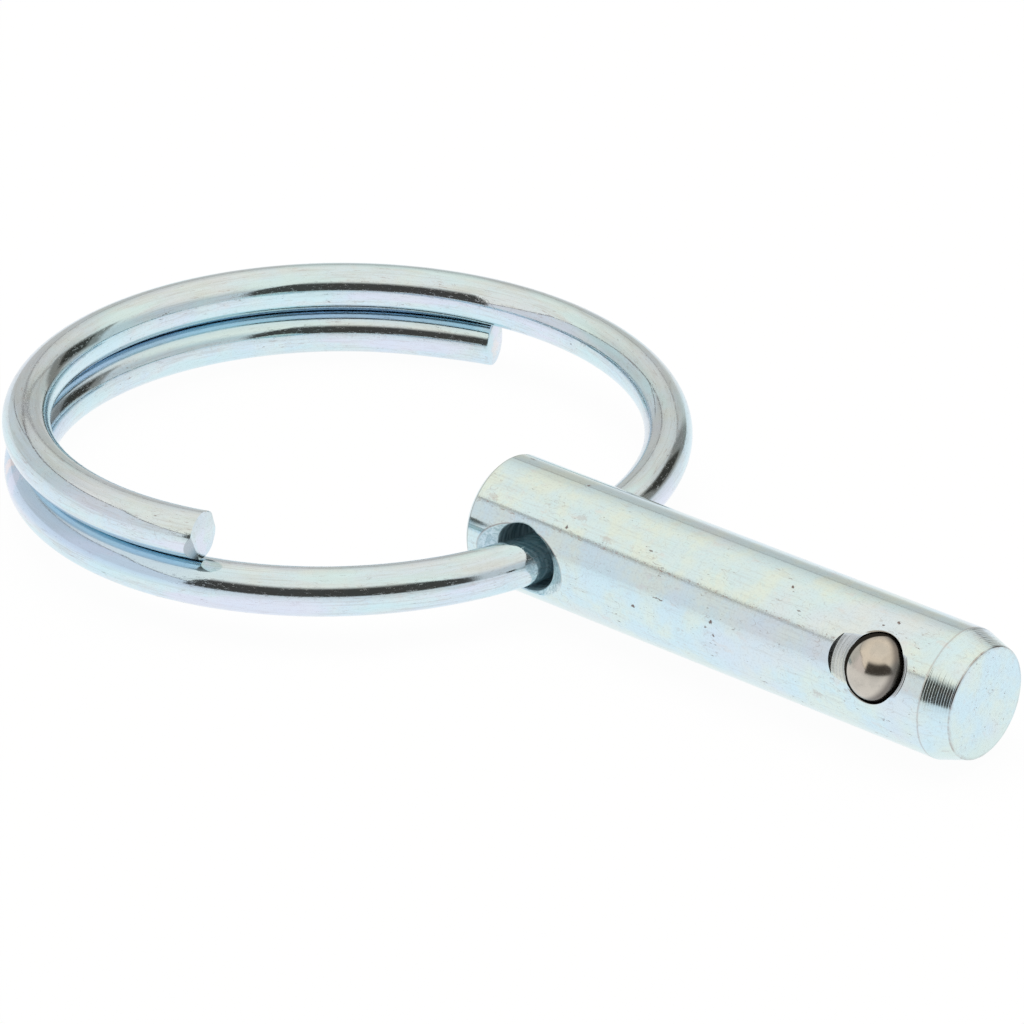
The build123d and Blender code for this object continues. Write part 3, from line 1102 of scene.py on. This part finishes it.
def lay_tints(coat, flow, angle, climb, upper):
    """The passivate's tints in soft stretches, and painted blue shade between the coils and
    under the upper one.
    """
    tint = noise(flow, (0.10, 0.55, 0.55), 2, 0.5, 52)
    coat.lay(tint.ramp(0.50, 0.62) * (0.6 - upper * 0.45), (0.80, 0.80, 0.93))
    coat.lay((1 - tint.ramp(0.38, 0.48)) * 0.5, (0.64, 0.88, 0.92))
    doubled = angle.between(107, 286, 2)
    # Painted shade: blue where the two coils meet.
    gap = climb.near(-in_mm * ring_pitch / 2, 0.25, 0.7) * doubled
    coat.lay(gap * 0.5, (0.50, 0.68, 0.80), 0.18)
    # Painted shade: blue on the lower turn under the upper one.
    under = angle.between(215, 290, 12) * climb.between(-2.9, -1.75, 0.25)
    coat.lay(under * 0.5, (0.52, 0.67, 0.90))


def ring_zinc():
    """Plate along the wire, with what the nippers and the dip left on it."""
    material, place = new_finish("ring_zinc")
    centre = Vector((hole_x, 0, 0)) + ring_centre
    from_centre = place.vector("SUBTRACT", tuple(in_mm * centre))
    x, y, z = split(from_centre)
    angle = whole_turn(bearing(x, y))
    climb = z - angle * (in_mm * ring_pitch / 360)
    flow = joined(angle * (in_mm * ring_radius * radians(1)), length(x, y), climb)
    upper = climb.ramp(-0.2, 0.9) + climb.between(-2.9, -1.55, 0.3)
    coat = zinc(place, flow, 0.4, (0.70, 0.84, 0.93), (0.74, 0.85, 0.86))
    coat.rough = coat.rough * 0.65
    lay_drawn_wire(coat, flow, upper)
    lay_tints(coat, flow, angle, climb, upper)

    # Two drops of dip dried on the lower turn, a peach one and a lavender one.
    dried_lavender = (0.82, 0.80, 0.94)
    coat.lay(spot(place, (-46.3, -14.0, -0.4), 0.8) * 0.8, (0.94, 0.80, 0.78))
    coat.lay(spot(place, (-44.7, -15.5, -0.6), 1.0) * 0.6, dried_lavender)

    # The nipped flat is greyer. The ring's other end took a lavender and a warm tint.
    point, normal = nipped(*broad_flat)
    off = from_centre.vector("DOT_PRODUCT", tuple(normal), output=1)
    off = off - in_mm * point.dot(normal)
    crushed = off.near(0, 0.03, 0.06) * climb.ramp(-1.6, -1.4)
    crushed = crushed * angle.between(upper_sweep - 6, upper_sweep + 6, 1)
    coat.lay(crushed * 0.8, (0.44, 0.50, 0.53), 0.25)
    coat.lay(spot(place, (-37.8, 22.1, -1.6), 0.8) * 0.6, dried_lavender)
    coat.lay(spot(place, (-37.86, 21.9, -2.8), 0.6) * 0.6, (0.88, 0.80, 0.74))
    return finish(material, coat)

# %% [markdown]
# ## The ball's and the spring's finishes
# The ball is plain bearing steel, warm and a little cloudy. Near the pocket's rim it is
# painted dark as shade, higher towards the nose, and near black at the rim. On the tail side
# a dead black painted shade covers it, up to the round edge of a cap that leans towards the
# nose.

# %% Ball and spring finishes
def ball_steel():
    material, place = new_finish("ball_steel")
    cloud = noise(place, 0.9, 3, 0.6, 4)
    coat = Coat(mix((0.56, 0.52, 0.455), (0.63, 0.58, 0.505), cloud.ramp(0.38, 0.62)),
                cloud * 0.06 + 0.13, noise(place, 1.1, 1, 0.4, 5) * 0.0012)
    forward, side, height = on_pocket_axes(place)
    rim = in_mm * rim_height
    # Painted shade near the pocket's rim, reaching higher towards the nose, and near black at
    # the rim itself.
    shade_rise_to_nose = (forward - side * 0.1).math("MAXIMUM", 0.0) * 0.35
    coat.lay(1 - (height - shade_rise_to_nose).ramp(rim - 0.2, rim + 0.3), (0.22, 0.20, 0.18), 0.25)
    coat.lay(1 - height.ramp(rim - 0.14, rim), (0.05, 0.045, 0.04), 0.4)
    wiped = noise(place, (1.6, 0.5, 2.6), 4, 0.6, 17)
    coat.lay(wiped.ramp(0.55, 0.7) * 0.35, (0.40, 0.37, 0.34), 0.22)
    grain = noise(place, 9.0, 2, 0.6, 3)
    coat.lay(grain.ramp(0.62, 0.72) * 0.3, (0.30, 0.28, 0.26), 0.3, -0.001)
    # Painted shade: outside a round cap, whose middle leans towards the nose as much as it
    # points out, the ball is dead black.
    in_cap = forward * 0.717 - side * 0.066 + (height - in_mm * ball_height) * 0.693
    return finish(material, coat, painted_black_shade=1 - in_cap.ramp(0.37, 0.47))


def spring_steel():
    material, place = new_finish("spring_steel")
    drawn = noise(place, 6.0, 3, 0.6, 4)
    coat = Coat(mix((0.42, 0.42, 0.43), (0.60, 0.60, 0.61), drawn.ramp(0.4, 0.6)),
                drawn * 0.15 + 0.2, drawn * 0.002)
    return finish(material, coat)


for piece, made in ((pin, pin_zinc()), (ring, ring_zinc()), (ball, ball_steel()),
                    (spring, spring_steel())):
    piece.data.materials.clear()
    piece.data.materials.append(made)
    print(made.name, len(made.node_tree.nodes), "nodes")

# %% [markdown]
# ## The camera
# A long lens, a little above the pin and off its nose, which hardly narrows the far side.

# %% Camera
camera_azimuth = 41.383
camera_elevation = 26.92
camera_roll = -0.36
camera_distance = 368.75 * mm
camera_target = Vector((-22.894, 6.486, -4.0)) * mm
camera_lens = 208.2

camera = bpy.data.objects.new("camera", bpy.data.cameras.new("camera"))
camera.data.sensor_width = 36.0
camera.data.lens = camera_lens
camera.data.clip_start = 0.01
camera.data.clip_end = 20.0
turn = (Matrix.Rotation(radians(camera_azimuth), 4, "Z")
        @ Matrix.Rotation(radians(90 - camera_elevation), 4, "X")
        @ Matrix.Rotation(radians(camera_roll), 4, "Z"))
camera.matrix_world = Matrix.Translation(camera_target) @ turn @ Matrix.Translation(
    (0, 0, camera_distance))
scene.collection.objects.link(camera)
scene.camera = camera
scene.view_settings.view_transform = "Standard"
